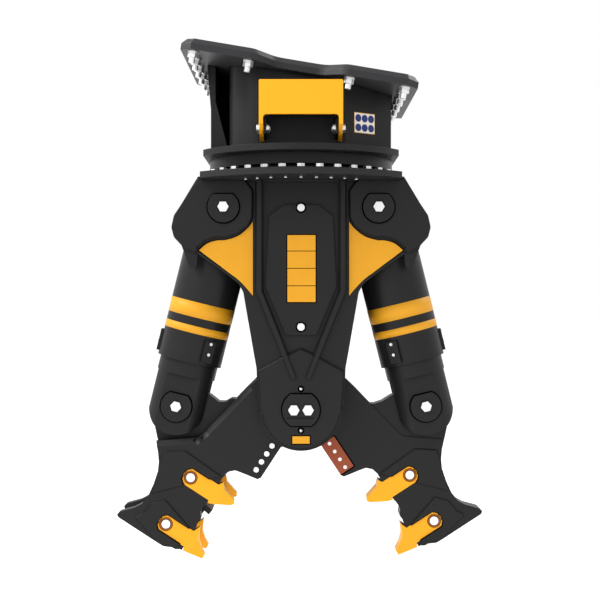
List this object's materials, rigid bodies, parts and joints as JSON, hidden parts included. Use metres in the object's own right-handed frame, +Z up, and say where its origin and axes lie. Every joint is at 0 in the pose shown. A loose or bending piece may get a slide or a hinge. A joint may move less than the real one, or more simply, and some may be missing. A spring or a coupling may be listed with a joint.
{
  "type": "demolition multiprocessor attachment",
  "caption": "Slewing hydraulic demolition jaw: tilted bolt-on saddle, black frame, two cylinders, forked and middle jaw with yellow teeth and cutting blades.",
  "frame": {"origin": "centre of the mounting plate's top face, on the slewing axis", "axes": "+Z up along the slewing axis, +X to the right as seen from the hose guard's side, -Y towards the hose guard; the pins run along Y"},
  "size_m": [1.579, 0.9558, 2.1773],
  "materials": {
    "plate_paint": "satin",
    "black_paint": "satin",
    "yellow_paint": "satin",
    "zinc_steel": "satin",
    "machined_steel": "satin",
    "bearing_steel": "polished",
    "chrome_rod": "polished",
    "bronze": "satin",
    "blade_steel": "satin",
    "red_primer": "matt"
  },
  "bodies": {
    "saddle": {"mounting_plate": "plate_paint", "mounting_bolts": "zinc_steel", "mounting_nuts": "zinc_steel", "saddle_column": "black_paint", "saddle_base_plate": "black_paint", "race_bolts": "zinc_steel", "slew_outer_race": "machined_steel", "slew_motor": "black_paint", "swivel_stator": "machined_steel", "hose_manifold": "black_paint", "hose_guard": "yellow_paint", "guard_brackets": "black_paint", "guard_bolts": "zinc_steel"},
    "pinion": {"slew_pinion": "machined_steel"},
    "frame": {"slew_ring_gear": "machined_steel", "slew_balls": "bearing_steel", "slew_bolts": "zinc_steel", "swivel_rotor": "machined_steel", "frame_top_plate": "black_paint", "front_cheek": "black_paint", "rear_cheek": "black_paint", "cheek_doublers": "black_paint", "frame_ribs": "black_paint", "inner_web": "black_paint", "cover_panels": "black_paint", "cover_bolts": "zinc_steel", "main_pin": "machined_steel", "upper_pins": "machined_steel", "pin_caps": "black_paint", "pin_bolts": "zinc_steel", "thrust_washers": "bronze"},
    "left_rod_body": {"left_rod": "chrome_rod", "left_sleeve": "black_paint", "left_guide_pads": "black_paint"},
    "left_barrel_body": {"left_barrel": "black_paint", "left_gland": "machined_steel", "left_lower_pin": "black_paint", "left_lower_pin_bolts": "zinc_steel"},
    "right_rod_body": {"right_rod": "chrome_rod", "right_sleeve": "black_paint", "right_guide_pads": "black_paint"},
    "right_barrel_body": {"right_barrel": "black_paint", "right_gland": "machined_steel", "right_lower_pin": "black_paint", "right_lower_pin_bolts": "zinc_steel"},
    "left_jaw": {"left_jaw_plates": "black_paint", "left_jaw_core": "black_paint", "left_jaw_bushes": "bronze", "left_wear_plates": "black_paint", "left_teeth": "yellow_paint", "left_tooth_bolts": "zinc_steel", "left_blade": "blade_steel", "left_blade_bolts": "zinc_steel"},
    "right_jaw": {"right_jaw_body": "black_paint", "right_jaw_bush": "bronze", "right_wear_plates": "black_paint", "right_teeth": "yellow_paint", "right_tooth_bolts": "zinc_steel", "right_blade": "red_primer", "right_blade_bolts": "zinc_steel"}
  },
  "joints": [
    {"name": "frame_slew", "type": "hinge", "parent": "saddle", "child": "frame", "pos_m": [0, 0, -0.418], "axis": [0, 0, 1], "continuous": true},
    {"name": "pinion_spin", "type": "hinge", "parent": "saddle", "child": "pinion", "pos_m": [0.24, 0, -0.418], "axis": [0, 0, 1], "continuous": true},
    {"name": "left_jaw_hinge", "type": "hinge", "parent": "frame", "child": "left_jaw", "pos_m": [0, 0, -1.451], "axis": [0, -1, 0], "range_deg": [-5, 32]},
    {"name": "left_rod_swing", "type": "hinge", "parent": "frame", "child": "left_rod_body", "pos_m": [-0.328, 0, -0.594], "axis": [0, -1, 0], "range_deg": [-1.14, 6.99]},
    {"name": "left_barrel_slide", "type": "slide", "parent": "left_rod_body", "child": "left_barrel_body", "axis": [-0.2396, 0, -0.9709], "range_m": [-0.0431, 0.2742]},
    {"name": "right_jaw_hinge", "type": "hinge", "parent": "frame", "child": "right_jaw", "pos_m": [0, 0, -1.451], "axis": [0, 1, 0], "range_deg": [-5, 32]},
    {"name": "right_rod_swing", "type": "hinge", "parent": "frame", "child": "right_rod_body", "pos_m": [0.328, 0, -0.594], "axis": [0, 1, 0], "range_deg": [-1.14, 6.99]},
    {"name": "right_barrel_slide", "type": "slide", "parent": "right_rod_body", "child": "right_barrel_body", "axis": [0.2396, 0, -0.9709], "range_m": [-0.0431, 0.2742]}
  ],
  "couplings": [
    {"joint": "pinion_spin", "follows": "frame_slew", "ratio": 4.75},
    {"joint": "left_rod_swing", "follows": "left_jaw_hinge", "ratio": 0.217},
    {"joint": "left_barrel_slide", "follows": "left_jaw_hinge", "m_per_rad": 0.4905},
    {"joint": "right_rod_swing", "follows": "right_jaw_hinge", "ratio": 0.217},
    {"joint": "right_barrel_slide", "follows": "right_jaw_hinge", "m_per_rad": 0.4905}
  ]
}
